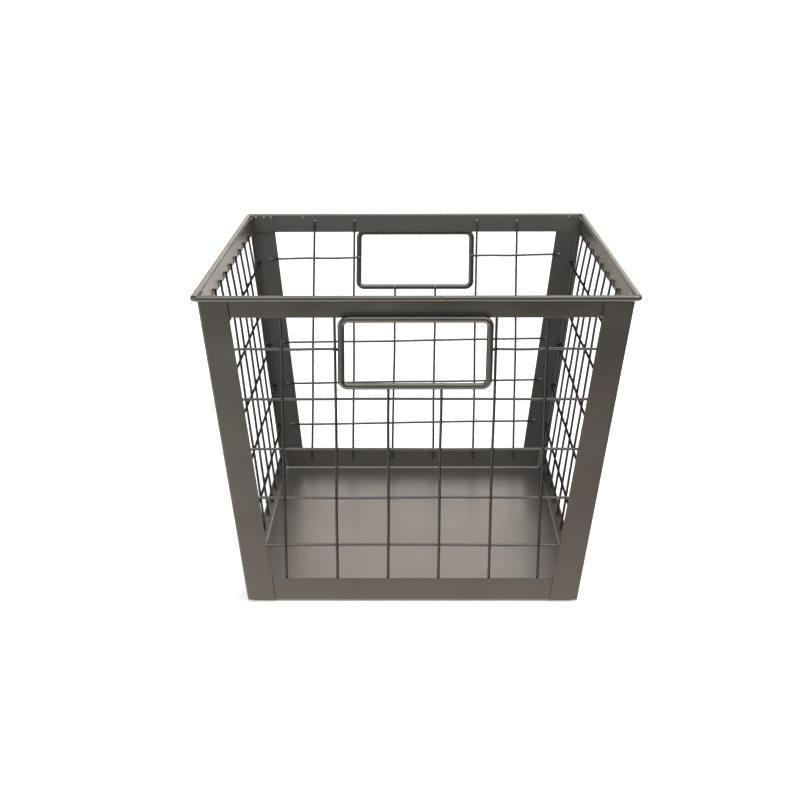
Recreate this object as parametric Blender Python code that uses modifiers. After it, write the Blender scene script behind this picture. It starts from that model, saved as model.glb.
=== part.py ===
"""Open-topped storage basket of painted sheet steel and welded wire mesh.

Four angle posts, four flat bands and a folded floor pan make a tapered box that is wider at
the top. A round rod runs round the rim. Each wall is filled with wire on a square pitch, and
the two end walls carry a rod loop as a handle. Nothing on it moves.

Metres, +Z up, the end walls face -Y (front) and +Y (back). The origin is on the underside of
the floor pan, at its middle.
"""

import math

import bmesh
import bpy
from mathutils import Vector

# Overall shape: across the outer faces of the corner posts, at the floor and at the top edge
BASE_WIDTH = 0.259
BASE_DEPTH = 0.378
TOP_WIDTH = 0.323
TOP_DEPTH = 0.436
HEIGHT = 0.251

# Sheet metal
SHEET = 0.0008
GAP = 0.0003
POST_FLANGE = 0.022
POST_BEND = 0.0015
POST_BEND_STEPS = 4
POST_FOOT = 0.001
BAND_HEIGHT = 0.015
BAND_END_GAP = 0.0005
PAN_HEIGHT = 0.020
PAN_CORNER = 0.005
PAN_BEND = 0.002

# Rods
RIM_ROD = 0.005
RIM_CORNER = 0.0043
HANDLE_ROD = 0.0045
HANDLE_WIDTH = 0.116
HANDLE_BOTTOM = 0.1774
HANDLE_TOP = 0.2358
HANDLE_CORNER = 0.0053

# Wire mesh
WIRE = 0.0015
PITCH = 0.040
CROSS_ROWS = 5
END_UPRIGHTS = 6
SIDE_UPRIGHTS = 9
SIDE_MESH_SHIFT = -0.007
END_UPRIGHT_FROM = 0.010
END_UPRIGHT_TO = 0.244
SIDE_UPRIGHT_FROM = 0.012
SIDE_UPRIGHT_TO = 0.2415
WELD_SINK = 0.00025
LAP_ON_POST = 0.0045
BEND_START = 0.003
BEND_END = 0.001
LAP_ON_HANDLE = 0.0037
SHORT_UPRIGHT_LAP = 0.0029

# Vertices closer than this are one
NEAR = 0.00001

# Heights and insets that follow from them
TOP_EDGE = HEIGHT - RIM_ROD / 2
BAND_BOTTOM = TOP_EDGE - BAND_HEIGHT
MESH_MIDDLE = (BAND_BOTTOM + PAN_HEIGHT) / 2
INNER_SHEET = SHEET + GAP
UPRIGHT_INSET = INNER_SHEET + SHEET + GAP + WIRE / 2
CROSS_INSET = UPRIGHT_INSET + WIRE + GAP
FUSED_CROSS_INSET = UPRIGHT_INSET + WIRE - WELD_SINK
LAP_INSET = SHEET + GAP + WIRE / 2

# Turn of each wall about Z: the end walls face -Y and +Y, the side walls +X and -X
WALLS = {"front": 0.0, "right": 90.0, "back": 180.0, "left": 270.0}


def half_span(z, base, top):
    """Half the distance between two opposite post faces at a height."""
    return (base + (top - base) * z / TOP_EDGE) / 2


def half_width(z):
    return half_span(z, BASE_WIDTH, TOP_WIDTH)


def half_depth(z):
    return half_span(z, BASE_DEPTH, TOP_DEPTH)


def wall_reach(wall, z):
    """Distance from the middle of the basket to the outer post face of a wall."""
    return half_depth(z) if wall in ("front", "back") else half_width(z)


def wall_half_length(wall, z):
    """Half the length of a wall at a height."""
    return half_width(z) if wall in ("front", "back") else half_depth(z)


def on_wall(wall, along, z, inset):
    """Point on a wall: along it, at a height, and inset from the outer post face."""
    turn = math.radians(WALLS[wall])
    out = wall_reach(wall, z) - inset
    x = along * math.cos(turn) + out * math.sin(turn)
    y = along * math.sin(turn) - out * math.cos(turn)
    return Vector((x, y, z))


def wall_lean(wall):
    """Angle between a wall and the vertical."""
    return math.atan2(wall_reach(wall, TOP_EDGE) - wall_reach(wall, 0), TOP_EDGE)


def new_collection(name, hidden=False):
    collection = bpy.data.collections.new(name)
    bpy.context.scene.collection.children.link(collection)
    collection.hide_render = hidden
    return collection


def paint(name, colour, roughness):
    """Metallic paint, baked on."""
    material = bpy.data.materials.new(name)
    material.use_nodes = True
    shader = material.node_tree.nodes["Principled BSDF"]
    shader.inputs["Base Color"].default_value = (*colour, 1.0)
    shader.inputs["Metallic"].default_value = 0.6
    shader.inputs["Roughness"].default_value = roughness
    return material


def add_mesh(name, shape, material):
    """Make a named sub-part from a bmesh."""
    mesh = bpy.data.meshes.new(name)
    shape.to_mesh(mesh)
    shape.free()
    part = bpy.data.objects.new(name, mesh)
    part.data.materials.append(material)
    parts.objects.link(part)
    return part


def thicken(part):
    """Give an open outer surface its sheet thickness, inwards."""
    solid = part.modifiers.new("sheet", "SOLIDIFY")
    solid.thickness = SHEET
    solid.offset = -1
    solid.use_even_offset = True


def add_rod(name, runs, diameter, material, closed=False):
    """Bend a round rod through points, or several rods in one object."""
    curve = bpy.data.curves.new(name, "CURVE")
    curve.dimensions = "3D"
    curve.bevel_depth = diameter / 2
    curve.bevel_resolution = 2
    curve.use_fill_caps = not closed
    for run in runs:
        spline = curve.splines.new("POLY")
        spline.points.add(len(run) - 1)
        for point, place in zip(spline.points, run):
            point.co = (*place, 1.0)
        spline.use_cyclic_u = closed
    rod = bpy.data.objects.new(name, curve)
    rod.data.materials.append(material)
    parts.objects.link(rod)
    return rod


def rounded_rectangle(half_x, half_y, radius, steps):
    """Corner points of a rectangle with round corners, anticlockwise."""
    points = []
    for quarter, (sx, sy) in enumerate(((1, 1), (-1, 1), (-1, -1), (1, -1))):
        for step in range(steps + 1):
            angle = math.radians(90) * (quarter + step / steps)
            x = sx * (half_x - radius) + radius * math.cos(angle)
            y = sy * (half_y - radius) + radius * math.sin(angle)
            points.append((x, y))
    return points


def make_pan():
    """Floor tray with four upturned flanges, folded from one sheet."""
    shape = bmesh.new()
    bmesh.ops.create_cube(shape, size=1.0)
    for vert in shape.verts:
        z = PAN_HEIGHT if vert.co.z > 0 else 0.0
        x = math.copysign(half_width(z) - INNER_SHEET, vert.co.x)
        y = math.copysign(half_depth(z) - INNER_SHEET, vert.co.y)
        vert.co = (x, y, z)
    lid = [face for face in shape.faces if face.normal.z > 0.9]
    bmesh.ops.delete(shape, geom=lid, context="FACES_ONLY")
    upright = [e for e in shape.edges if abs(e.verts[0].co.z - e.verts[1].co.z) > PAN_HEIGHT / 2]
    bmesh.ops.bevel(shape, geom=upright, offset=PAN_CORNER, segments=4, profile=0.5, affect="EDGES")
    folds = [e for e in shape.edges if not e.is_boundary and max(v.co.z for v in e.verts) < NEAR]
    bmesh.ops.bevel(shape, geom=folds, offset=PAN_BEND, segments=3, profile=0.5, affect="EDGES")
    thicken(add_mesh("floor_pan", shape, sheet_paint))


def make_post(name, side_x, side_y):
    """Angle post with a small bend radius, leaning outwards two ways."""
    outline = [(POST_FLANGE, 0.0)]
    for step in range(POST_BEND_STEPS + 1):
        angle = math.radians(90) * step / POST_BEND_STEPS
        outline.append((POST_BEND * (1 - math.sin(angle)), POST_BEND * (1 - math.cos(angle))))
    outline.append((0.0, POST_FLANGE))
    shape = bmesh.new()
    rows = []
    for z in (POST_FOOT, TOP_EDGE):
        corner = Vector((half_width(z), half_depth(z), 0.0))
        places = [(side_x * (corner.x - x), side_y * (corner.y - y), z) for x, y in outline]
        rows.append([shape.verts.new(place) for place in places])
    edges = [shape.edges.new(pair) for row in rows for pair in zip(row, row[1:])]
    bmesh.ops.bridge_loops(shape, edges=edges)
    bmesh.ops.recalc_face_normals(shape, faces=shape.faces)
    outwards = Vector((side_x, side_y, 0.0))
    if sum(face.normal.dot(outwards) for face in shape.faces) < 0:
        bmesh.ops.reverse_faces(shape, faces=shape.faces)
    thicken(add_mesh(name, shape, sheet_paint))


def make_band(wall):
    """Flat strip round the top of a wall, inside the posts."""
    end_gap = INNER_SHEET + BAND_END_GAP
    if wall in ("left", "right"):
        end_gap += SHEET + GAP
    shape = bmesh.new()
    corners = []
    for z, side in ((BAND_BOTTOM, -1), (BAND_BOTTOM, 1), (TOP_EDGE, 1), (TOP_EDGE, -1)):
        along = side * (wall_half_length(wall, z) - end_gap)
        corners.append(shape.verts.new(on_wall(wall, along, z, INNER_SHEET)))
    shape.faces.new(corners)
    thicken(add_mesh(wall + "_top_band", shape, sheet_paint))


def make_rim():
    """Round rod bent to a frame, welded to the outside of the posts."""
    stand_off = (GAP + RIM_ROD / 2) / math.cos(wall_lean("left"))
    half_x = half_width(TOP_EDGE) + stand_off
    half_y = half_depth(TOP_EDGE) + stand_off
    run = [(x, y, TOP_EDGE) for x, y in rounded_rectangle(half_x, half_y, RIM_CORNER, 8)]
    add_rod("rim_rod", [run], RIM_ROD, rod_paint, closed=True)


def handle_inset(z):
    """Inset of a handle's centre line: on the band at its top, on the wires at its foot."""
    stand_off = (GAP + HANDLE_ROD / 2) / math.cos(wall_lean("front"))
    at_top = INNER_SHEET - stand_off
    at_foot = UPRIGHT_INSET - WIRE / 2 - stand_off
    up = (z - HANDLE_BOTTOM) / (HANDLE_TOP - HANDLE_BOTTOM)
    return at_foot + (at_top - at_foot) * up


def make_handle(wall):
    """Rod loop that frames the hand hole, welded outside the band and the mesh."""
    half_x = (HANDLE_WIDTH - HANDLE_ROD) / 2
    half_z = (HANDLE_TOP - HANDLE_BOTTOM - HANDLE_ROD) / 2
    middle = (HANDLE_TOP + HANDLE_BOTTOM) / 2
    run = []
    for along, up in rounded_rectangle(half_x, half_z, HANDLE_CORNER, 6):
        z = middle + up
        run.append(on_wall(wall, along, z, handle_inset(z)))
    add_rod(wall + "_handle", [run], HANDLE_ROD, rod_paint, closed=True)


def upright_run(wall, along, low, high):
    return [on_wall(wall, along, z, UPRIGHT_INSET) for z in (low, high)]


def post_lap(wall, side, z, inset):
    """End of a cross wire: out of the mesh plane, over the post's edge and onto its flange."""
    edge = wall_half_length(wall, z) - POST_FLANGE
    steps = ((edge + LAP_ON_POST, LAP_INSET), (edge + BEND_END, LAP_INSET), (edge - BEND_START, inset))
    return [on_wall(wall, side * along, z, depth) for along, depth in steps]


def cross_run(wall, z, inset):
    return post_lap(wall, -1, z, inset) + post_lap(wall, 1, z, inset)[::-1]


def cut_cross_run(wall, side, z):
    """Top cross wire, cut short where it meets the handle's side bar."""
    bar = HANDLE_WIDTH / 2
    lap = handle_inset(z) + HANDLE_ROD / 2 + GAP + WIRE / 2
    steps = ((bar + GAP * 2, CROSS_INSET), (bar - BEND_END * 2, lap), (bar - LAP_ON_HANDLE, lap))
    ends = [on_wall(wall, side * along, z, depth) for along, depth in steps]
    return post_lap(wall, side, z, CROSS_INSET) + ends


def row_heights():
    """Heights of the cross wires, from the top one down."""
    top = MESH_MIDDLE + PITCH * (CROSS_ROWS - 1) / 2
    return [top - PITCH * row for row in range(CROSS_ROWS)]


def upright_places(count, shift=0.0):
    return [shift + PITCH * (i - (count - 1) / 2) for i in range(count)]


def make_end_mesh(wall):
    """Separate wires of an end wall, cut out round the handle."""
    short_top = HANDLE_BOTTOM + SHORT_UPRIGHT_LAP
    for number, along in enumerate(upright_places(END_UPRIGHTS), start=1):
        top = short_top if abs(along) < HANDLE_WIDTH / 2 else END_UPRIGHT_TO
        run = upright_run(wall, along, END_UPRIGHT_FROM, top)
        add_rod(f"{wall}_upright_wire_{number}", [run], WIRE, wire_paint)
    top_row, *full_rows = row_heights()
    for side, word in ((-1, "a"), (1, "b")):
        run = cut_cross_run(wall, side, top_row)
        add_rod(f"{wall}_cross_wire_1{word}", [run], WIRE, wire_paint)
    for number, z in enumerate(full_rows, start=2):
        run = cross_run(wall, z, CROSS_INSET)
        add_rod(f"{wall}_cross_wire_{number}", [run], WIRE, wire_paint)


def as_mesh(rod, home):
    """Turn a bent rod into a mesh with its caps closed."""
    bpy.context.view_layer.update()
    seen = rod.evaluated_get(bpy.context.evaluated_depsgraph_get())
    mesh = bpy.data.meshes.new_from_object(seen)
    shape = bmesh.new()
    shape.from_mesh(mesh)
    bmesh.ops.remove_doubles(shape, verts=shape.verts, dist=NEAR)
    shape.to_mesh(mesh)
    shape.free()
    name = rod.name
    place = rod.matrix_world.copy()
    bpy.data.objects.remove(rod)
    solid = bpy.data.objects.new(name, mesh)
    solid.matrix_world = place
    home.objects.link(solid)
    return solid


def make_side_mesh(wall):
    """Welded sheet of wire that fills a side wall, fused where its wires cross."""
    places = upright_places(SIDE_UPRIGHTS, SIDE_MESH_SHIFT)
    if wall == "right":
        uprights = [upright_run(wall, along, SIDE_UPRIGHT_FROM, SIDE_UPRIGHT_TO) for along in places]
    else:
        uprights = [upright_run(wall, -along, SIDE_UPRIGHT_FROM, SIDE_UPRIGHT_TO) for along in places]
    crosses = [cross_run(wall, z, FUSED_CROSS_INSET) for z in row_heights()]
    grille = as_mesh(add_rod(wall + "_mesh", uprights, WIRE, wire_paint), parts)
    rows = as_mesh(add_rod(wall + "_mesh_rows", crosses, WIRE, wire_paint), cutters)
    rows.hide_render = True
    rows.display_type = "WIRE"
    weld = grille.modifiers.new("weld", "BOOLEAN")
    weld.operation = "UNION"
    weld.object = rows


for old in list(bpy.data.objects):
    bpy.data.objects.remove(old, do_unlink=True)

parts = new_collection("wire_mesh_basket")
cutters = new_collection("cutters", hidden=True)

sheet_paint = paint("painted_sheet_steel", (0.165, 0.150, 0.138), 0.42)
rod_paint = paint("painted_steel_rod", (0.150, 0.145, 0.138), 0.40)
wire_paint = paint("painted_steel_wire", (0.130, 0.125, 0.118), 0.42)

make_pan()
for depth_word, depth_side in (("front", -1), ("back", 1)):
    for width_word, width_side in (("left", -1), ("right", 1)):
        make_post(f"{depth_word}_{width_word}_post", width_side, depth_side)
for wall_name in WALLS:
    make_band(wall_name)
make_rim()
for wall_name in ("front", "back"):
    make_handle(wall_name)
    make_end_mesh(wall_name)
for wall_name in ("left", "right"):
    make_side_mesh(wall_name)
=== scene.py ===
"""Looks of a tapered storage basket of painted sheet steel and welded wire.

Every sheet, rod and wire of the CAD frame is stood for by a finer piece: sheet with rounded cut
edges and folds, rods bent round their corners, wires with the small bows that welding leaves, and
the weld spots that hold them. A piece of a wall is modelled flat and upright, x along the wall,
y inwards from the outer face of the posts and z up, and is then stood in its leaning place.
"""

import math

import bmesh
import bpy
from mathutils import Matrix, Vector


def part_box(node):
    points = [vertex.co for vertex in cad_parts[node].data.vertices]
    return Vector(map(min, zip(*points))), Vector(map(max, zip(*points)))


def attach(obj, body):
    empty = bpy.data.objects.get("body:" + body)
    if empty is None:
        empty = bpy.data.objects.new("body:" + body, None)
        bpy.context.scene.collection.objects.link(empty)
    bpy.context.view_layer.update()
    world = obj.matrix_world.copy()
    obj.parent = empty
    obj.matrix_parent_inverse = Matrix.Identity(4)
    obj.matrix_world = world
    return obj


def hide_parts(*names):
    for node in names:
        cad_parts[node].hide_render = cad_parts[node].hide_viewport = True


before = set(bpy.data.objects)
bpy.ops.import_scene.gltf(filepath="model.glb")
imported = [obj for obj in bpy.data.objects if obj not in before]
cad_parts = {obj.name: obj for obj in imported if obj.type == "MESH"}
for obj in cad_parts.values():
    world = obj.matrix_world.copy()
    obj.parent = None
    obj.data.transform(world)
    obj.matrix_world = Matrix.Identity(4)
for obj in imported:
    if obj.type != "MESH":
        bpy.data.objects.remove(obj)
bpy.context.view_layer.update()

# Stock, in metres
SHEET = 0.0008
WIRE = 0.0021
HANDLE_ROD = 0.0051
GAP = 0.0003
INNER_SHEET = SHEET + GAP

# Read from the frame
POST_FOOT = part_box("front_left_post")[0].z
TOP_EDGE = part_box("front_left_post")[1].z
PAN_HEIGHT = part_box("floor_pan")[1].z
BAND_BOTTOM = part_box("front_top_band")[0].z
RIM_ROD = 2 * (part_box("rim_rod")[1].z - TOP_EDGE)
RIM_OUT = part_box("rim_rod")[1]
HANDLE_LOW, HANDLE_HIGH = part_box("front_handle")

# Wall name: turn about Z, and which reach of a corner is outwards and which along the wall
WALLS = {
    "front": (0, "y", "x"),
    "right": (90, "x", "y"),
    "back": (180, "y", "x"),
    "left": (270, "x", "y"),
}

EDGE_ROUND = 0.0002
SHARP_EDGE = math.radians(60)
SOFT_ANGLE = math.radians(35)
CLOSE = 0.00002

# A direction counts as along an axis when its part that way is more than this
MOSTLY = 0.9

# The welded frame is a little out of square: its foot sits to the left of its rim
FOOT_SKEW = -0.0030


# ---------------------------------------------------------------- places


def reach(node, z):
    """Furthest x and y of a CAD node near a height."""
    near = [v.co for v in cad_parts[node].data.vertices if abs(v.co.z - z) < SHEET]
    return Vector((max(abs(co.x) for co in near), max(abs(co.y) for co in near)))


POST_LOW = reach("front_left_post", POST_FOOT)
POST_SPREAD = (reach("front_left_post", TOP_EDGE) - POST_LOW) / (TOP_EDGE - POST_FOOT)


def corner(z):
    """Half the width and half the depth across the posts at a height."""
    return POST_LOW + POST_SPREAD * (z - POST_FOOT)


def out_to(wall, z):
    """From the middle of the basket out to a wall's outer face at a height."""
    return getattr(corner(z), WALLS[wall][1])


def half_length(wall, z):
    return getattr(corner(z), WALLS[wall][2])


def lean(wall):
    """Angle between a wall and the vertical."""
    return math.atan2(out_to(wall, TOP_EDGE) - out_to(wall, 0), TOP_EDGE)


def up(wall, z):
    """Distance up a leaning wall to a height."""
    return z / math.cos(lean(wall))


def stand(piece, wall):
    """Lean a piece that was modelled flat and turn it to its wall."""
    turn = Matrix.Rotation(math.radians(WALLS[wall][0]), 4, "Z")
    out = Matrix.Translation((0, -out_to(wall, 0), 0))
    piece.matrix_world = turn @ out @ Matrix.Rotation(lean(wall), 4, "X")


# ---------------------------------------------------------------- modelling


def deselect():
    bpy.ops.object.select_all(action="DESELECT")


def only(piece):
    """Make a piece the one selected and active object."""
    deselect()
    piece.select_set(True)
    bpy.context.view_layer.objects.active = piece


def open_piece(name):
    """Name the primitive just added, settle its place in its mesh and open it for editing."""
    piece = bpy.context.object
    piece.name = name
    piece.data.name = name
    bpy.ops.object.transform_apply()
    bpy.ops.object.mode_set(mode="EDIT")
    return piece


def close_piece():
    """Merge doubles, close open ends, turn faces outwards and leave edit mode."""
    bpy.ops.mesh.select_all(action="SELECT")
    bpy.ops.mesh.remove_doubles(threshold=CLOSE)
    bpy.ops.mesh.fill_holes(sides=0)
    bpy.ops.mesh.normals_make_consistent(inside=False)
    bpy.ops.object.mode_set(mode="OBJECT")


def pick(piece, kind, test):
    """In edit mode, select just the verts, edges or faces that pass a test."""
    bpy.context.tool_settings.mesh_select_mode = (kind == "verts", kind == "edges", kind == "faces")
    bpy.ops.mesh.select_all(action="DESELECT")
    shape = bmesh.from_edit_mesh(piece.data)
    for element in getattr(shape, kind):
        if test(element):
            element.select_set(True)
    shape.select_flush_mode()
    bmesh.update_edit_mesh(piece.data)


def middle(edge):
    return (edge.verts[0].co + edge.verts[1].co) / 2


def run_of(edge):
    return (edge.verts[1].co - edge.verts[0].co).normalized()


def modify(piece, kind, **settings):
    """Add a modifier and apply it."""
    only(piece)
    modifier = piece.modifiers.new(kind.lower(), kind)
    for name, value in settings.items():
        setattr(modifier, name, value)
    bpy.ops.object.modifier_apply(modifier=modifier.name)


def make_sheet(piece):
    """Give an open outer face its thickness, inwards, and round the cut edges."""
    modify(piece, "SOLIDIFY", thickness=SHEET, offset=-1, use_even_offset=True)
    modify(
        piece,
        "BEVEL",
        width=EDGE_ROUND,
        segments=2,
        limit_method="ANGLE",
        angle_limit=SHARP_EDGE,
    )


def start_rod(name, at, facing, diameter, sides):
    """Round outline of a rod's first end, open in edit mode and ready to feed."""
    turn = Vector((0, 0, 1)).rotation_difference(Vector(facing)).to_euler()
    bpy.ops.mesh.primitive_circle_add(
        vertices=sides, radius=diameter / 2, fill_type="NOTHING", location=at, rotation=turn
    )
    rod = open_piece(name)
    bpy.ops.mesh.select_all(action="SELECT")
    return rod


def feed(step, times=1):
    """Draw the rod on in equal straight steps."""
    for _ in range(times):
        bpy.ops.mesh.extrude_region_move(TRANSFORM_OT_translate={"value": Vector(step) / times})


def bend(degrees, centre, axis, steps=8):
    """Bend the rod round a former, the right-hand way about the axis. Spin turns the other way."""
    bpy.ops.mesh.spin(steps=steps, angle=math.radians(-degrees), center=centre, axis=axis)


def swell(factor):
    """Change the width of the ring just fed."""
    bpy.ops.transform.resize(value=(factor, factor, factor))


def copy_of(piece, name):
    twin = piece.copy()
    twin.data = piece.data.copy()
    twin.name = name
    twin.data.name = name
    bpy.context.scene.collection.objects.link(twin)
    return twin


def join(pieces, name):
    """Join pieces into the first of them."""
    only(pieces[0])
    for piece in pieces[1:]:
        piece.select_set(True)
    bpy.ops.object.join()
    pieces[0].name = name
    pieces[0].data.name = name
    return pieces[0]


def hand_over(piece, finish, slot, *nodes):
    """Settle a finished piece, paint it and hide the CAD nodes it stands for."""
    only(piece)
    bpy.ops.object.transform_apply()
    for vert in piece.data.vertices:
        vert.co.x += FOOT_SKEW * (1 - vert.co.z / TOP_EDGE)
    bpy.ops.object.shade_smooth_by_angle(angle=SOFT_ANGLE)
    if slot == "painted_sheet_steel":
        # Flat faces stay flat in the gloss, and only the rounded edges and folds turn
        modify(piece, "WEIGHTED_NORMAL", weight=50, keep_sharp=True)
    piece.data.materials.clear()
    piece.data.materials.append(finish)
    if nodes:
        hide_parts(*nodes)
    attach(piece, "root")


# Waves of a bowed wire, in radians over its length: a long and a short one in the plane of the
# wall, and one across it
LONG_WAVE = 7
SHORT_WAVE = 15
SHORT_WAVE_SHARE = 0.3
ACROSS_WAVE = 9
ACROSS_SHARE = 0.5


def bow(piece, along, size, phase):
    """Give a straight wire the slight bows that welding leaves, fading out at its ends."""
    run, side = (2, 0) if along == "z" else (0, 2)
    ends = [vert.co[run] for vert in piece.data.vertices]
    low, high = min(ends), max(ends)
    for vert in piece.data.vertices:
        at = (vert.co[run] - low) / (high - low)
        fade = math.sin(math.pi * at)
        long_wave = math.sin(LONG_WAVE * at + phase)
        short_wave = SHORT_WAVE_SHARE * math.sin(SHORT_WAVE * at + 2 * phase)
        vert.co[side] += size * fade * (long_wave + short_wave)
        vert.co.y += size * ACROSS_SHARE * fade * math.sin(ACROSS_WAVE * at + 3 * phase)


# ---------------------------------------------------------------- finishes


def srgb(code):
    """Linear colour, with alpha, from an sRGB hex code."""
    parts = [int(code[i : i + 2], 16) / 255 for i in (1, 3, 5)]
    linear = [p / 12.92 if p <= 0.04045 else ((p + 0.055) / 1.055) ** 2.4 for p in parts]
    return (*linear, 1.0)


def add_node(tree, kind, settings=None, links=None):
    """Add a node. Settings go to its own properties or its sockets, links to its sockets."""
    node = tree.nodes.new(kind)
    for name, value in (settings or {}).items():
        if isinstance(name, str) and hasattr(node, name):
            setattr(node, name, value)
        else:
            node.inputs[name].default_value = value
    for name, source in (links or {}).items():
        tree.links.new(source, node.inputs[name])
    return node


# Film thickness drifts over about 60 mm, and the gloss with it
DRIFT_SCALE = 16.0
DRIFT_LOW = 0.3
DRIFT_HIGH = 0.7
GLOSS_DRIFT = (-0.04, 0.05)
# Flakes are about 0.05 mm; drawn 0.7 mm apart so that they show
FLAKE_SCALE = 1400.0
FLAKE_GLINT = (0.97, 1.03)
# Orange peel, crests about 2.5 mm apart and a few hundredths of a millimetre high
PEEL_SCALE = 400.0
PEEL_HEIGHT = 0.00003
PEEL_STRENGTH = 0.35
TOP_FILM_ROUGHNESS = 0.3


def pewter_coat(name, dark, light, roughness, metallic, lacquer, edge):
    """Metallic powder coat, sprayed dry and baked.

    The baked film is satin, with a slight orange peel from the way the powder flows together.
    Its aluminium flakes make the colour shimmer a little, and thicker and thinner film drifts
    between a darker and a lighter pewter grey.
    """
    material = bpy.data.materials.new(name)
    material.use_nodes = True
    tree = material.node_tree
    tree.nodes.clear()
    place = add_node(tree, "ShaderNodeTexCoord").outputs["Object"]
    drift = add_node(
        tree, "ShaderNodeTexNoise", {"Scale": DRIFT_SCALE, "Detail": 3.0}, {"Vector": place}
    )
    tone = add_node(
        tree,
        "ShaderNodeMix",
        {"data_type": "RGBA", 6: srgb(dark), 7: srgb(light)},
        {0: drift.outputs["Fac"]},
    )
    flakes = add_node(tree, "ShaderNodeTexVoronoi", {"Scale": FLAKE_SCALE}, {"Vector": place})
    glint = add_node(
        tree,
        "ShaderNodeMapRange",
        {"From Min": 0.0, "From Max": 1.0, "To Min": FLAKE_GLINT[0], "To Max": FLAKE_GLINT[1]},
        {"Value": flakes.outputs["Color"]},
    )
    colour = add_node(
        tree,
        "ShaderNodeVectorMath",
        {"operation": "SCALE"},
        {0: tone.outputs[2], "Scale": glint.outputs[0]},
    )
    gloss = add_node(
        tree,
        "ShaderNodeMapRange",
        {
            "From Min": DRIFT_LOW,
            "From Max": DRIFT_HIGH,
            "To Min": roughness + GLOSS_DRIFT[0],
            "To Max": roughness + GLOSS_DRIFT[1],
        },
        {"Value": drift.outputs["Fac"]},
    )
    orange_peel = add_node(
        tree, "ShaderNodeTexNoise", {"Scale": PEEL_SCALE, "Detail": 2.0}, {"Vector": place}
    )
    relief = add_node(
        tree,
        "ShaderNodeBump",
        {"Strength": PEEL_STRENGTH, "Distance": PEEL_HEIGHT},
        {"Height": orange_peel.outputs["Fac"]},
    )
    shader = add_node(
        tree,
        "ShaderNodeBsdfPrincipled",
        {
            "Metallic": metallic,
            "Specular Tint": srgb(edge),
            "Coat Weight": lacquer,
            "Coat Roughness": TOP_FILM_ROUGHNESS,
        },
        {
            "Base Color": colour.outputs[0],
            "Roughness": gloss.outputs[0],
            "Normal": relief.outputs[0],
        },
    )
    add_node(tree, "ShaderNodeOutputMaterial", None, {"Surface": shader.outputs[0]})
    return material


# The whole basket is sprayed and baked at once, after welding; the flat sheet shows the paint's own
# tone
SHEET_COAT = pewter_coat(
    "powder_coated_sheet_steel", "#7d7a76", "#85827e", 0.34, 0.92, 0.22, "#dedede"
)
# Powder flows smoother over round rod, so it is glossier; its tone is a little darker as painted
# shade, a shaded copy of the sheet's paint
SHADED_ROD_COAT = pewter_coat(
    "powder_coated_steel_rod_in_painted_shade", "#6b6a67", "#73726f", 0.28, 0.9, 0.2, "#d8d8d8"
)
# Wire: the same paint with its glancing shine dimmed by a dark edge tint and no top film, painted
# shade that keeps the thin wires dark against white
SHADED_WIRE_COAT = pewter_coat(
    "powder_coated_steel_wire_in_painted_shade", "#6a6866", "#73716f", 0.28, 0.95, 0.0, "#404040"
)
# Weld spots: a paler copy of the paint, a painted highlight that makes the little nuggets show as
# light dots
HIGHLIGHTED_WELD_COAT = pewter_coat(
    "powder_coated_welds_with_painted_highlight", "#949089", "#9f9b94", 0.3, 0.7, 0.2, "#b0b0b0"
)


# ---------------------------------------------------------------- floor pan

PAN_CORNER = 0.005
PAN_BEND = 0.002


def make_pan():
    """Floor tray with four flanges folded up from one sheet, its corners drawn round."""
    low = corner(0) - Vector((INNER_SHEET, INNER_SHEET))
    high = corner(PAN_HEIGHT) - Vector((INNER_SHEET, INNER_SHEET))
    bpy.ops.mesh.primitive_cube_add(
        size=1, location=(0, 0, PAN_HEIGHT / 2), scale=(2 * low.x, 2 * low.y, PAN_HEIGHT)
    )
    pan = open_piece("pan")
    pick(pan, "verts", lambda v: v.co.z > PAN_HEIGHT / 2)
    bpy.ops.transform.resize(
        value=(high.x / low.x, high.y / low.y, 1), center_override=(0, 0, PAN_HEIGHT)
    )
    pick(pan, "faces", lambda f: f.normal.z > MOSTLY)
    bpy.ops.mesh.delete(type="ONLY_FACE")
    pick(pan, "edges", lambda e: abs(run_of(e).z) > MOSTLY)
    bpy.ops.mesh.bevel(offset=PAN_CORNER, segments=6, affect="EDGES")
    pick(pan, "edges", lambda e: max(v.co.z for v in e.verts) < CLOSE and not e.is_boundary)
    bpy.ops.mesh.bevel(offset=PAN_BEND, segments=5, affect="EDGES")
    bpy.ops.mesh.select_all(action="SELECT")
    bpy.ops.mesh.normals_make_consistent(inside=False)
    bpy.ops.object.mode_set(mode="OBJECT")
    make_sheet(pan)
    hand_over(pan, SHEET_COAT, "painted_sheet_steel", "floor_pan")


# ---------------------------------------------------------------- posts and bands

POST_FLANGE = 0.022
POST_BEND = 0.0015

# A post's foot is lifted near its fold, out to this far from the outer corner
FOOT_LIFT = 0.0007
FOOT_LIFT_REACH = 0.003

# Between the posts the rim's welds draw a band out to the rod, most at its top edge
JOGGLE = 0.004
POST_DRAW = 0.0005
DRAWN_TOP = 0.0018
DRAWN_BOTTOM = 0.0016
BAND_END_GAP = 0.0005


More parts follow.
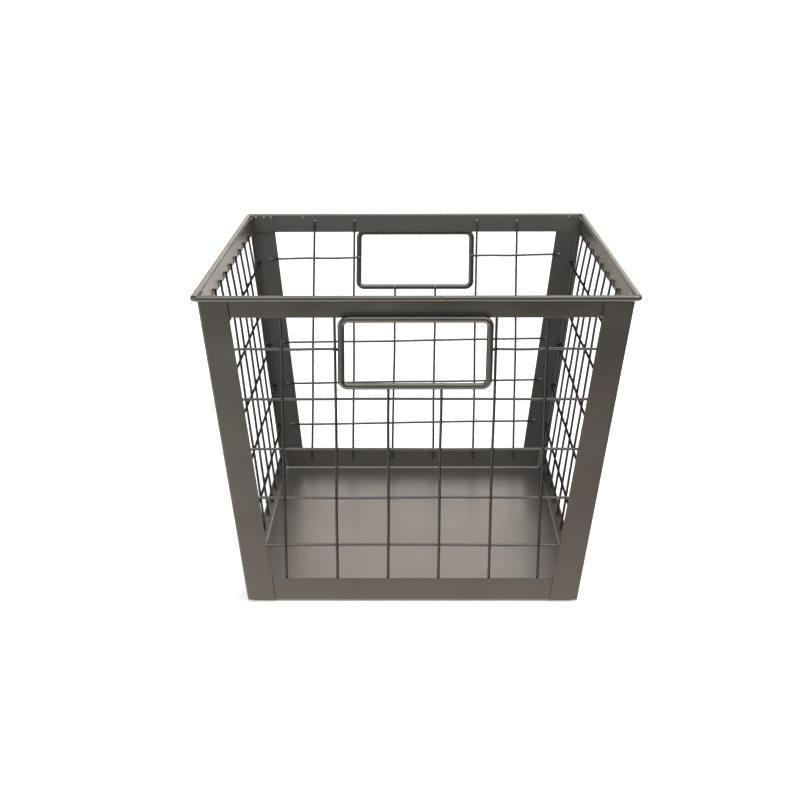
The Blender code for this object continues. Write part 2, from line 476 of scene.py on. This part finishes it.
def make_post(depth_word, width_word):
    """Angle post: a strip folded once lengthwise, leaning outwards two ways."""
    side_x = -1 if width_word == "left" else 1
    side_y = -1 if depth_word == "front" else 1
    foot = corner(POST_FOOT)
    spread = corner(TOP_EDGE) - foot
    tall = TOP_EDGE - POST_FOOT
    bpy.ops.mesh.primitive_plane_add(
        size=1,
        location=(side_x * (foot.x - POST_FLANGE / 2), side_y * foot.y, POST_FOOT + tall / 2),
        rotation=(math.radians(90), 0, 0),
    )
    bpy.context.object.scale = (POST_FLANGE, tall, 1)
    post = open_piece(f"post_{depth_word}_{width_word}")
    fold_x = foot.x - CLOSE
    pick(post, "edges", lambda e: abs(run_of(e).z) > MOSTLY and abs(middle(e).x) > fold_x)
    feed((0, -side_y * POST_FLANGE, 0))
    fold_y = foot.y - CLOSE
    pick(
        post,
        "edges",
        lambda e: abs(run_of(e).z) > MOSTLY
        and abs(middle(e).x) > fold_x
        and abs(middle(e).y) > fold_y,
    )
    bpy.ops.mesh.bevel(offset=POST_BEND, segments=6, affect="EDGES")
    pick(
        post,
        "verts",
        lambda v: v.co.z < TOP_EDGE / 2
        and foot.x - abs(v.co.x) + foot.y - abs(v.co.y) < FOOT_LIFT_REACH,
    )
    bpy.ops.transform.translate(value=(0, 0, FOOT_LIFT))
    pick(post, "verts", lambda v: v.co.z > TOP_EDGE / 2)
    bpy.ops.transform.translate(
        value=(side_x * (spread.x + POST_DRAW), side_y * (spread.y + POST_DRAW), 0)
    )
    bpy.ops.object.mode_set(mode="OBJECT")
    face_away(post, Vector((side_x, side_y, 0)))
    make_sheet(post)
    hand_over(post, SHEET_COAT, "painted_sheet_steel", f"{depth_word}_{width_word}_post")


def face_away(piece, outwards):
    """Turn an open sheet's faces to one side."""
    bpy.ops.object.mode_set(mode="EDIT")
    bpy.ops.mesh.select_all(action="SELECT")
    bpy.ops.mesh.normals_make_consistent(inside=False)
    shape = bmesh.from_edit_mesh(piece.data)
    if sum(face.normal.dot(outwards) for face in shape.faces) < 0:
        bpy.ops.mesh.flip_normals()
    bpy.ops.object.mode_set(mode="OBJECT")


def make_band(wall):
    """Flat strip behind the posts, along the top of a wall."""
    end_gap = INNER_SHEET + BAND_END_GAP
    if wall in ("left", "right"):
        end_gap += INNER_SHEET
    low, high = up(wall, BAND_BOTTOM), up(wall, TOP_EDGE)
    low_half = half_length(wall, BAND_BOTTOM) - end_gap
    high_half = half_length(wall, TOP_EDGE) - end_gap
    bpy.ops.mesh.primitive_plane_add(
        size=1, location=(0, INNER_SHEET, (low + high) / 2), rotation=(math.radians(90), 0, 0)
    )
    bpy.context.object.scale = (2 * low_half, high - low, 1)
    band = open_piece(f"band_{wall}")
    pick(band, "verts", lambda v: v.co.z > (low + high) / 2)
    bpy.ops.transform.resize(value=(high_half / low_half, 1, 1), center_override=(0, 0, 0))
    post_edge = half_length(wall, BAND_BOTTOM) - POST_FLANGE
    for side in (-1, 1):
        for cut in (post_edge, post_edge - JOGGLE):
            bpy.ops.mesh.select_all(action="SELECT")
            bpy.ops.mesh.bisect(plane_co=(side * cut, 0, 0), plane_no=(1, 0, 0))
    drawn_to = post_edge - JOGGLE + CLOSE
    pick(band, "verts", lambda v: abs(v.co.x) < drawn_to)
    bpy.ops.transform.translate(value=(0, -DRAWN_BOTTOM, 0))
    pick(band, "verts", lambda v: abs(v.co.x) < drawn_to and v.co.z > (low + high) / 2)
    bpy.ops.transform.translate(value=(0, DRAWN_BOTTOM - DRAWN_TOP, 0))
    bpy.ops.object.mode_set(mode="OBJECT")
    face_away(band, Vector((0, -1, 0)))
    make_sheet(band)
    stand(band, wall)
    hand_over(band, SHEET_COAT, "painted_sheet_steel", f"{wall}_top_band")


# ---------------------------------------------------------------- rim and handles

RIM_CORNER = 0.0043
RIM_SIDES = 24
RIM_CORNER_STEPS = 12

# Butt weld of the rim, right of the middle of the front: a waist where the ends meet, and on each
# side of it half a bead that swells within the first part of its length
SEAM_AT = 0.018
SEAM_BULGE = 1.05
SEAM_WAIST = 0.955
BEAD = 0.0014
BEAD_RISE = 0.3 * BEAD
BEAD_FALL = 0.7 * BEAD


def make_rim():
    """Round rod bent to a frame and butt welded at the front."""
    half_x = RIM_OUT.x - RIM_ROD / 2
    half_y = RIM_OUT.y - RIM_ROD / 2
    z = TOP_EDGE
    turn_x = half_x - RIM_CORNER
    turn_y = half_y - RIM_CORNER
    rim = start_rod("rim", (SEAM_AT, -half_y, z), (1, 0, 0), RIM_ROD, RIM_SIDES)
    swell(SEAM_WAIST)
    feed((BEAD_RISE, 0, 0))
    swell(SEAM_BULGE / SEAM_WAIST)
    feed((BEAD_FALL, 0, 0))
    swell(1 / SEAM_BULGE)
    feed((turn_x - SEAM_AT - BEAD, 0, 0), 6)
    bend(90, (turn_x, -turn_y, z), (0, 0, 1), RIM_CORNER_STEPS)
    feed((0, 2 * turn_y, 0), 12)
    bend(90, (turn_x, turn_y, z), (0, 0, 1), RIM_CORNER_STEPS)
    feed((-2 * turn_x, 0, 0), 12)
    bend(90, (-turn_x, turn_y, z), (0, 0, 1), RIM_CORNER_STEPS)
    feed((0, -2 * turn_y, 0), 12)
    bend(90, (-turn_x, -turn_y, z), (0, 0, 1), RIM_CORNER_STEPS)
    feed((turn_x + SEAM_AT - BEAD, 0, 0), 6)
    feed((BEAD_FALL, 0, 0))
    swell(SEAM_BULGE)
    feed((BEAD_RISE, 0, 0))
    swell(SEAM_WAIST / SEAM_BULGE)
    close_piece()
    hand_over(rim, SHADED_ROD_COAT, "painted_steel_rod", "rim_rod")


HANDLE_CORNER = 0.0053
HANDLE_SIDES = 20
HANDLE_CORNER_STEPS = 10
UPRIGHT_INSET = 2 * INNER_SHEET + WIRE / 2
CROSS_INSET = UPRIGHT_INSET + WIRE


def make_handle(wall):
    """Rod loop round the hand hole, its top bar on the band and its foot on the wires."""
    low = up(wall, HANDLE_LOW.z) + HANDLE_ROD / 2
    high = up(wall, HANDLE_HIGH.z) - HANDLE_ROD / 2
    turn_x = HANDLE_HIGH.x - HANDLE_ROD / 2 - HANDLE_CORNER
    foot_inset = UPRIGHT_INSET - WIRE / 2 - GAP - HANDLE_ROD / 2
    top_inset = INNER_SHEET - DRAWN_BOTTOM - GAP - HANDLE_ROD / 2
    handle = start_rod(f"handle_{wall}", (0, foot_inset, low), (1, 0, 0), HANDLE_ROD, HANDLE_SIDES)
    feed((turn_x, 0, 0), 4)
    bend(-90, (turn_x, foot_inset, low + HANDLE_CORNER), (0, 1, 0), HANDLE_CORNER_STEPS)
    feed((0, 0, high - low - 2 * HANDLE_CORNER), 4)
    bend(-90, (turn_x, foot_inset, high - HANDLE_CORNER), (0, 1, 0), HANDLE_CORNER_STEPS)
    feed((-2 * turn_x, 0, 0), 8)
    bend(-90, (-turn_x, foot_inset, high - HANDLE_CORNER), (0, 1, 0), HANDLE_CORNER_STEPS)
    feed((0, 0, 2 * HANDLE_CORNER - high + low), 4)
    bend(-90, (-turn_x, foot_inset, low + HANDLE_CORNER), (0, 1, 0), HANDLE_CORNER_STEPS)
    feed((turn_x, 0, 0), 4)
    close_piece()
    for vert in handle.data.vertices:
        vert.co.y += (top_inset - foot_inset) * (vert.co.z - low) / (high - low)
    stand(handle, wall)
    hand_over(handle, SHADED_ROD_COAT, "painted_steel_rod", f"{wall}_handle")


# ---------------------------------------------------------------- wire mesh

PITCH = 0.040
SIDE_MESH_SHIFT = -0.007
SIDE_FROM = 0.012
SIDE_TO = 0.2390
WIRE_SIDES = 12
WIRE_STEPS = 26
CUT_WIRE_STEPS = 12
BOW = 0.0003
SIDE_BOW = 0.0006

# Number of the upright in the middle of a wall, counted from 1
END_MIDDLE = 3.5
SIDE_MIDDLE = 5

# Steps in phase from one wire to the next, so that no two bow alike
UPRIGHT_PHASE = 1.7
CROSS_PHASE = 2.3
CUT_WIRE_PHASE = 2.1
SIDE_UPRIGHT_PHASE = 1.3
SIDE_CROSS_PHASE = 2.9

# Cross wires run inside the uprights and step out behind a post's flange to lie on it
LAP_INSET = INNER_SHEET + WIRE / 2
LAP_ON_POST = 0.0078
LAP_ON_BAR = 0.0012
STEP_BACK = -0.0046
JOG_ANGLE = 36
JOG_RADIUS = 0.0016
JOG_STEPS = 4

# Over this length below a band the uprights come out with it
WIRE_DRAW = 0.05


def straight_upright(wall, low, high):
    """Straight vertical wire in the middle of a wall, to be copied."""
    start, end = up(wall, low), up(wall, high)
    wire = start_rod("straight_upright", (0, UPRIGHT_INSET, start), (0, 0, 1), WIRE, WIRE_SIDES)
    feed((0, 0, end - start), WIRE_STEPS)
    close_piece()
    return wire


def upright_wire(straight, name, wall, along, phase, size=BOW, foot=0.0, top=0.0):
    """Copy a straight vertical wire to its place and bow it a little between its welds.

    Foot and top are how far its ends stray from the true line.
    """
    wire = copy_of(straight, name)
    bow(wire, "z", size, phase)
    heights = [vert.co.z for vert in straight.data.vertices]
    start, end = min(heights), max(heights)
    for vert in wire.data.vertices:
        at = (vert.co.z - start) / (end - start)
        vert.co.x += along + foot * (1 - at) + top * at
        ramp = 1 - (up(wall, BAND_BOTTOM) - vert.co.z) / WIRE_DRAW
        vert.co.y -= DRAWN_BOTTOM * min(1, max(0, ramp)) ** 2
    return wire


def step_out(at, near, far, x):
    """Double bend in a wire running along x, from one depth to another; returns where it ends."""
    rise = far - near
    turn = math.copysign(JOG_ANGLE, rise)
    radius = math.copysign(JOG_RADIUS, rise)
    sine, cosine = math.sin(math.radians(JOG_ANGLE)), math.cos(math.radians(JOG_ANGLE))
    slope = (abs(rise) - 2 * JOG_RADIUS * (1 - cosine)) / sine
    bend(turn, (x, near + radius, at), (0, 0, 1), JOG_STEPS)
    feed((slope * cosine, math.copysign(slope * sine, rise), 0))
    x += 2 * JOG_RADIUS * sine + slope * cosine
    bend(-turn, (x, far - radius, at), (0, 0, 1), JOG_STEPS)
    return x


def start_cross_wire(wall, z):
    """First end of a cross wire, on a post and stepped in; returns the wire and where it ends."""
    at = up(wall, z)
    edge = half_length(wall, z) - POST_FLANGE
    tip = edge + LAP_ON_POST
    wire = start_rod("straight_cross", (-tip, LAP_INSET, at), (1, 0, 0), WIRE, WIRE_SIDES)
    feed((LAP_ON_POST + STEP_BACK, 0, 0), 2)
    x = step_out(at, LAP_INSET, CROSS_INSET, STEP_BACK - edge)
    return wire, x


def straight_cross(wall, z):
    """Straight horizontal wire of a wall, its ends stepped out onto the posts, to be copied."""
    wire, x = start_cross_wire(wall, z)
    feed((-2 * x, 0, 0), WIRE_STEPS)
    step_out(up(wall, z), CROSS_INSET, LAP_INSET, -x)
    feed((LAP_ON_POST + STEP_BACK, 0, 0), 2)
    close_piece()
    return wire


def straight_cut_cross(wall, z):
    """Top cross wire of an end wall, from the left post to the handle's side bar, to be copied."""
    bar = HANDLE_HIGH.x - HANDLE_ROD / 2
    wire, x = start_cross_wire(wall, z)
    feed((-bar - HANDLE_ROD - x, 0, 0), CUT_WIRE_STEPS)
    x = step_out(up(wall, z), CROSS_INSET, UPRIGHT_INSET, -bar - HANDLE_ROD)
    feed((LAP_ON_BAR - bar - x, 0, 0), 2)
    close_piece()
    return wire


def cross_wire(straight, name, phase, size=BOW):
    """Copy a straight cross wire and bow it a little between its welds."""
    wire = copy_of(straight, name)
    bow(wire, "x", size, phase)
    return wire


def discard(pieces):
    for piece in pieces:
        bpy.data.objects.remove(piece)


def row_heights():
    """Heights of the cross wires, from the top one down."""
    return [middle_of(f"front_cross_wire_{row}").z for row in ("1a", "2", "3", "4", "5")]


def middle_of(node):
    low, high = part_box(node)
    return (low + high) / 2


# How far the welder let the wires of an end wall stray: feet and tops of the uprights, from
# upright 1 to 6, then the rows, from the top one down
STRAY_FOOT = {
    "front": (0.0010, 0.0012, 0.0008, 0.0, -0.0004, -0.0021),
    "back": (0.0, 0.0003, 0.0, 0.0004, -0.0003, 0.0006),
}
STRAY_TOP = {
    "front": (-0.0007, -0.0004, 0.0, 0.0, 0.0, -0.0018),
    "back": (0.0005, -0.0002, 0.0, -0.0006, 0.0, -0.0008),
}
STRAY_ROW = {
    "front": (0.0005, 0.0008, 0.0003, 0.0, 0.0),
    "back": (0.0029, 0.0018, 0.0009, 0.0002, -0.0005),
}
BACK_MESH_TILT = math.radians(0.85)

# These two uprights of an end wall stop at the handle
SHORT_UPRIGHTS = (3, 4)


def end_upright_place(wall, number, z):
    """Where an upright of an end wall crosses a height, along the wall."""
    low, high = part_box(f"{wall}_upright_wire_1")
    at = (z - low.z) / (high.z - low.z)
    foot, top = STRAY_FOOT[wall][number - 1], STRAY_TOP[wall][number - 1]
    return (number - END_MIDDLE) * PITCH + foot * (1 - at) + top * at


def tilt(piece, wall, z):
    """Tilt a cross wire of the back wall with the whole mesh panel."""
    if wall == "back":
        middle_height = Matrix.Translation((0, 0, up(wall, z)))
        piece.data.transform(
            middle_height @ Matrix.Rotation(BACK_MESH_TILT, 4, "Y") @ middle_height.inverted()
        )


def make_end_mesh(wall):
    """Wires of an end wall, cut out round the handle."""
    rows = [z + stray for z, stray in zip(row_heights(), STRAY_ROW[wall])]
    straight = {}
    for number in range(1, 7):
        node = f"{wall}_upright_wire_{number}"
        short = number in SHORT_UPRIGHTS
        if short not in straight:
            low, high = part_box(node)
            straight[short] = straight_upright(wall, low.z, high.z)
        along = (number - END_MIDDLE) * PITCH
        foot, top = STRAY_FOOT[wall][number - 1], STRAY_TOP[wall][number - 1]
        name = f"wire_{wall}_upright_{number}"
        phase = number * UPRIGHT_PHASE
        wire = upright_wire(straight[short], name, wall, along, phase, BOW, foot, top)
        stand(wire, wall)
        hand_over(wire, SHADED_WIRE_COAT, "painted_steel_wire", node)
    discard(straight.values())

    cut = straight_cut_cross(wall, rows[0])
    for side, word in ((-1, "a"), (1, "b")):
        name = f"wire_{wall}_cross_1{word}"
        wire = copy_of(cut, name)
        if side > 0:
            only(wire)
            bpy.ops.transform.mirror(
                constraint_axis=(True, False, False), center_override=(0, 0, 0)
            )
            bpy.ops.object.transform_apply()
            wire.data.flip_normals()
        bow(wire, "x", BOW, CUT_WIRE_PHASE + side)
        tilt(wire, wall, rows[0])
        stand(wire, wall)
        hand_over(wire, SHADED_WIRE_COAT, "painted_steel_wire", f"{wall}_cross_wire_1{word}")
    discard([cut])

    for number, z in enumerate(rows[1:], start=2):
        straight = straight_cross(wall, z)
        wire = cross_wire(straight, f"wire_{wall}_cross_{number}", number * CROSS_PHASE)
        discard([straight])
        tilt(wire, wall, z)
        stand(wire, wall)
        hand_over(wire, SHADED_WIRE_COAT, "painted_steel_wire", f"{wall}_cross_wire_{number}")


def make_side_meshes():
    """Wires of the two side walls, which are alike but for their bows."""
    upright = straight_upright("left", SIDE_FROM, SIDE_TO)
    crosses = [straight_cross("left", z) for z in row_heights()]
    for wall, side in (("left", -1), ("right", 1)):
        wires = []
        for number in range(1, 10):
            along = side * ((number - SIDE_MIDDLE) * PITCH + SIDE_MESH_SHIFT)
            name = f"wire_{wall}_upright_{number}"
            phase = number * SIDE_UPRIGHT_PHASE + side
            wires.append(upright_wire(upright, name, wall, along, phase, SIDE_BOW))
        for number, cross in enumerate(crosses, start=1):
            name = f"wire_{wall}_cross_{number}"
            phase = number * SIDE_CROSS_PHASE + side
            wires.append(cross_wire(cross, name, phase, SIDE_BOW))
        for number, wire in enumerate(wires):
            stand(wire, wall)
            nodes = [f"{wall}_mesh"] if number == 0 else []
            hand_over(wire, SHADED_WIRE_COAT, "painted_steel_wire", *nodes)
    discard([upright, *crosses])


# ---------------------------------------------------------------- welds


# Sizes of the spots, in millimetres: radius along the wall, half depth and half height
SPOT_ON_CROSSING = (0.95, 0.8, 0.95)
SPOT_ON_PAN = (1.0, 0.9, 1.1)
SPOT_ON_SIDE_PAN = (1.05, 0.9, 1.1)
SPOT_ON_BAND = (1.5, 1.4, 1.7)
SPOT_ON_SIDE_BAND = (0.75, 0.7, 1.2)
SPOT_ON_BAR = (1.0, 1.0, 1.1)
SPOT_ON_POST = (1.3, 1.1, 1.15)
TACK_DEPTH = 1.4
TACK_HEIGHT = 1.5

# How far a spot's middle is from the end of its wire, in metres
SPOT_FROM_TOP = 0.0008
SPOT_FROM_SIDE_TOP = 0.0006
SPOT_FROM_SIDE_FOOT = 0.001
SPOT_FROM_TIP = 0.0006
TACK_UNDER_RIM = 0.0012

# How far it is off the face that the wire is welded to
SPOT_OFF_BAND = 0.0006
SPOT_OFF_SIDE_BAND = 0.0004
SPOT_OFF_POST = 0.0004
SPOT_UNDER_WIRE = 0.0003

# How far in from the outside of a handle's side bar, in rod diameters
SPOT_IN_BAR = 0.6

# Tack welds between rim and back band, crowded in one corner: place along the wall, width
TACKS = ((0.1570, 1.3), (0.1492, 1.5), (0.1424, 1.4), (0.1110, 1.0), (-0.1500, 1.1))

# A spot is a millimetre in radius, splayed where it sits and drawn in where it stands free
SPOT_RADIUS = 0.001
SPOT_WAIST = 0.0004
SPOT_SPLAY = (1.25, 1, 1.25)
SPOT_DRAWN_IN = (0.8, 0.7, 0.8)
SPOT_VARIATION = 0.14
SPOT_PHASE = 2.4


def make_spot():
    """One weld spot: a flattened blob of melted wire, sunk where it sits."""
    bpy.ops.mesh.primitive_uv_sphere_add(segments=10, ring_count=6, radius=SPOT_RADIUS)
    spot = open_piece("spot")
    pick(spot, "verts", lambda v: v.co.y > SPOT_WAIST)
    bpy.ops.transform.resize(value=SPOT_SPLAY, center_override=(0, 0, 0))
    pick(spot, "verts", lambda v: v.co.y < -SPOT_WAIST)
    bpy.ops.transform.resize(value=SPOT_DRAWN_IN, center_override=(0, 0, 0))
    bpy.ops.object.mode_set(mode="OBJECT")
    return spot


def add_spots(spot, wall, name, places):
    """Copy the spot to places (along, height, inset, width, depth, tall) and join them."""
    copies = []
    for number, (along, z, inset, width, depth, tall) in enumerate(places):
        twin = copy_of(spot, f"{name}_{number}")
        size = 1 + SPOT_VARIATION * math.sin(SPOT_PHASE * number)
        twin.data.transform(Matrix.Diagonal((width * size, depth, tall / size, 1)))
        twin.data.transform(Matrix.Translation((along, inset, up(wall, z))))
        copies.append(twin)
    return join(copies, name)


# Depths of the faces that wires are welded to
BAND_FACE = INNER_SHEET + SHEET - DRAWN_TOP
PAN_FACE = INNER_SHEET + SHEET
CROSSING = UPRIGHT_INSET + WIRE / 2


def end_wall_spots(wall, rows, rise):
    """Places of the spots on an end wall's uprights and handle."""
    places = []
    for number in range(1, 7):
        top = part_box(f"{wall}_upright_wire_{number}")[1].z
        along = end_upright_place(wall, number, top)
        short = number in SHORT_UPRIGHTS
        face = UPRIGHT_INSET - WIRE / 2 if short else BAND_FACE + SPOT_OFF_BAND
        places.append((along, top - SPOT_FROM_TOP, face, *SPOT_ON_BAND))
        along = end_upright_place(wall, number, PAN_HEIGHT / 2)
        places.append((along, PAN_HEIGHT / 2, PAN_FACE, *SPOT_ON_PAN))
        for row, z in enumerate(rows):
            along = end_upright_place(wall, number, z)
            if row or abs(along) > HANDLE_HIGH.x:
                places.append((along, z + along * rise, CROSSING, *SPOT_ON_CROSSING))
    for side in (-1, 1):
        along = side * (HANDLE_HIGH.x - SPOT_IN_BAR * HANDLE_ROD)
        inset = UPRIGHT_INSET - SPOT_UNDER_WIRE
        places.append((along, rows[0] + along * rise, inset, *SPOT_ON_BAR))
    return places


def side_wall_spots(wall, rows):
    """Places of the spots on a side wall's uprights."""
    places = []
    side = 1 if wall == "right" else -1
    for number in range(1, 10):
        along = side * ((number - SIDE_MIDDLE) * PITCH + SIDE_MESH_SHIFT)
        top = SIDE_TO - SPOT_FROM_SIDE_TOP
        foot = SIDE_FROM + SPOT_FROM_SIDE_FOOT
        places.append((along, top, BAND_FACE + SPOT_OFF_SIDE_BAND, *SPOT_ON_SIDE_BAND))
        places.append((along, foot, PAN_FACE, *SPOT_ON_SIDE_PAN))
        for z in rows:
            places.append((along, z, CROSSING, *SPOT_ON_CROSSING))
    return places


def tack_places(wall):
    """Places of the larger tacks under the rim."""
    places = []
    for along, width in TACKS:
        drawn = DRAWN_TOP if abs(along) < half_length(wall, TOP_EDGE) - POST_FLANGE else 0.0
        face = INNER_SHEET + SHEET - drawn
        height = TOP_EDGE - TACK_UNDER_RIM
        places.append((along, height, face, width, TACK_DEPTH, TACK_HEIGHT))
    return places


def wall_spots(wall):
    """Places of all the weld spots of a wall."""
    rows = row_heights()
    rise = -math.tan(BACK_MESH_TILT) if wall == "back" else 0.0
    if wall in ("front", "back"):
        rows = [z + stray for z, stray in zip(rows, STRAY_ROW[wall])]
        places = end_wall_spots(wall, rows, rise)
    else:
        places = side_wall_spots(wall, rows)
    if wall == "back":
        places += tack_places(wall)
    for z in rows:
        for side in (-1, 1):
            tip = half_length(wall, z) - POST_FLANGE + LAP_ON_POST
            along = side * (tip - SPOT_FROM_TIP)
            places.append((along, z + along * rise, SHEET + SPOT_OFF_POST, *SPOT_ON_POST))
    return places


def make_welds():
    """Weld spots of each wall, joined to one piece a wall."""
    spot = make_spot()
    for wall in WALLS:
        spots = add_spots(spot, wall, f"weld_spots_{wall}", wall_spots(wall))
        stand(spots, wall)
        hand_over(spots, HIGHLIGHTED_WELD_COAT, "painted_steel_wire")
    discard([spot])


# ---------------------------------------------------------------- studio

# Soft lights of the studio: name, turn from the camera's side (90 is the right), height above
# the table's level, both in degrees, strength and colour
SOFT_LIGHTS = (
    ("window_left", 272, 0, 1.6, "#f5f9fb"),
    ("big_softbox_right", 72, 48, 3.2, "#fdfeff"),
    ("ceiling", 0, 85, 2.0, "#ffffff"),
    ("reflector_back_right", 140, 8, 1.25, "#ffffff"),
    ("backdrop_low", 174, -9, 1.0, "#fff2e6"),
    ("window_behind", 182, 24, 1.1, "#fff7f0"),
    ("reflector_front_left", 316, -15, 0.7, "#e0f2ee"),
    ("reflector_front", 345, 36, 1.0, "#f4fafa"),
)
LIGHT_SPREAD = 8

# The white table as the gloss shows it: it starts this far below the table's level, in degrees,
# and is fully bright from the second angle on
TABLE_FROM = 34
TABLE_FULL = 38
TABLE_GLOW = 1.62
TABLE_COLOUR = "#ffefe3"

# Brightness of what stands behind, seen directly
TABLE_WHITE = 0.5
BACKDROP_WHITE = 1.05
TABLE_WIDTH = 16


def make_floor():
    """White table. It looks white by itself, and in the paint's gloss the studio stands for it.

    Its top is a matt white laminate, smooth and without a pattern.
    """
    bpy.ops.mesh.primitive_plane_add(size=1, location=(0, 0, 0))
    bpy.context.object.scale = (TABLE_WIDTH, TABLE_WIDTH, 1)
    floor = open_piece("floor")
    bpy.ops.object.mode_set(mode="OBJECT")
    material = bpy.data.materials.new("white_laminate_table")
    material.use_nodes = True
    tree = material.node_tree
    shader = tree.nodes["Principled BSDF"]
    shader.inputs["Base Color"].default_value = srgb("#f2f2f1")
    shader.inputs["Roughness"].default_value = 0.8
    shader.inputs["Emission Color"].default_value = (1, 1, 1, 1)
    seen = add_node(tree, "ShaderNodeLightPath").outputs["Is Camera Ray"]
    glow = add_node(tree, "ShaderNodeMath", {"operation": "MULTIPLY", 1: TABLE_WHITE}, {0: seen})
    tree.links.new(glow.outputs[0], shader.inputs["Emission Strength"])
    floor.data.materials.append(material)
    floor.visible_glossy = False


def make_world():
    """Studio of a few large soft lights over a pale table. Seen directly it is plain white."""
    world = bpy.data.worlds.new("studio")
    bpy.context.scene.world = world
    world.use_nodes = True
    tree = world.node_tree
    tree.nodes.clear()
    way = add_node(tree, "ShaderNodeTexCoord").outputs["Generated"]
    height = add_node(tree, "ShaderNodeSeparateXYZ", None, {0: way}).outputs["Z"]
    table = add_node(
        tree,
        "ShaderNodeMapRange",
        {
            "interpolation_type": "SMOOTHSTEP",
            "From Min": -math.sin(math.radians(TABLE_FROM)),
            "From Max": -math.sin(math.radians(TABLE_FULL)),
            "To Min": 0.0,
            "To Max": TABLE_GLOW,
        },
        {"Value": height},
    )
    total = add_node(
        tree,
        "ShaderNodeVectorMath",
        {"operation": "SCALE", 0: srgb(TABLE_COLOUR)[:3]},
        {"Scale": table.outputs[0]},
    ).outputs[0]
    for name, turn, rise, strength, colour in SOFT_LIGHTS:
        towards = Matrix.Rotation(math.radians(turn), 3, "Z") @ Vector(
            (0, -math.cos(math.radians(rise)), math.sin(math.radians(rise)))
        )
        facing = add_node(
            tree, "ShaderNodeVectorMath", {"operation": "DOT_PRODUCT", 1: towards}, {0: way}
        )
        front = add_node(
            tree, "ShaderNodeMath", {"operation": "MAXIMUM", 1: 0.0}, {0: facing.outputs["Value"]}
        )
        falloff = add_node(
            tree, "ShaderNodeMath", {"operation": "POWER", 1: LIGHT_SPREAD}, {0: front.outputs[0]}
        )
        falloff.label = name
        glow = tuple(strength * part for part in srgb(colour)[:3])
        lit = add_node(
            tree,
            "ShaderNodeVectorMath",
            {"operation": "MULTIPLY_ADD", 1: glow},
            {0: falloff.outputs[0], 2: total},
        )
        total = lit.outputs[0]
    shade = add_node(tree, "ShaderNodeBackground", {"Strength": 1.0}, {"Color": total})
    white = add_node(
        tree, "ShaderNodeBackground", {"Color": (1, 1, 1, 1), "Strength": BACKDROP_WHITE}
    )
    seen = add_node(tree, "ShaderNodeLightPath").outputs["Is Camera Ray"]
    both = add_node(
        tree, "ShaderNodeMixShader", None, {0: seen, 1: shade.outputs[0], 2: white.outputs[0]}
    )
    add_node(tree, "ShaderNodeOutputWorld", None, {"Surface": both.outputs[0]})


# Long lens, a little above the rim and looking down into the basket; angles in degrees
LENS = 77.48
SENSOR = 36
CAMERA_AT = (-0.0009, -1.4671, 0.4817)
CAMERA_TURN = 0.51
CAMERA_DOWN = 13.962
CAMERA_ROLL = -0.17


def add_camera():
    lens = bpy.data.cameras.new("camera")
    lens.lens = LENS
    lens.sensor_width = SENSOR
    camera = bpy.data.objects.new("camera", lens)
    turn = Matrix.Rotation(math.radians(CAMERA_TURN), 4, "Z")
    tip = Matrix.Rotation(math.radians(90 - CAMERA_DOWN), 4, "X")
    roll = Matrix.Rotation(math.radians(CAMERA_ROLL), 4, "Z")
    camera.matrix_world = Matrix.Translation(CAMERA_AT) @ turn @ tip @ roll
    bpy.context.scene.collection.objects.link(camera)
    bpy.context.scene.camera = camera


make_pan()
for depth_name in ("front", "back"):
    for width_name in ("left", "right"):
        make_post(depth_name, width_name)
for wall_name in WALLS:
    make_band(wall_name)
make_rim()
for wall_name in ("front", "back"):
    make_handle(wall_name)
    make_end_mesh(wall_name)
make_side_meshes()
make_welds()

make_floor()
make_world()
add_camera()
bpy.context.scene.view_settings.view_transform = "Standard"
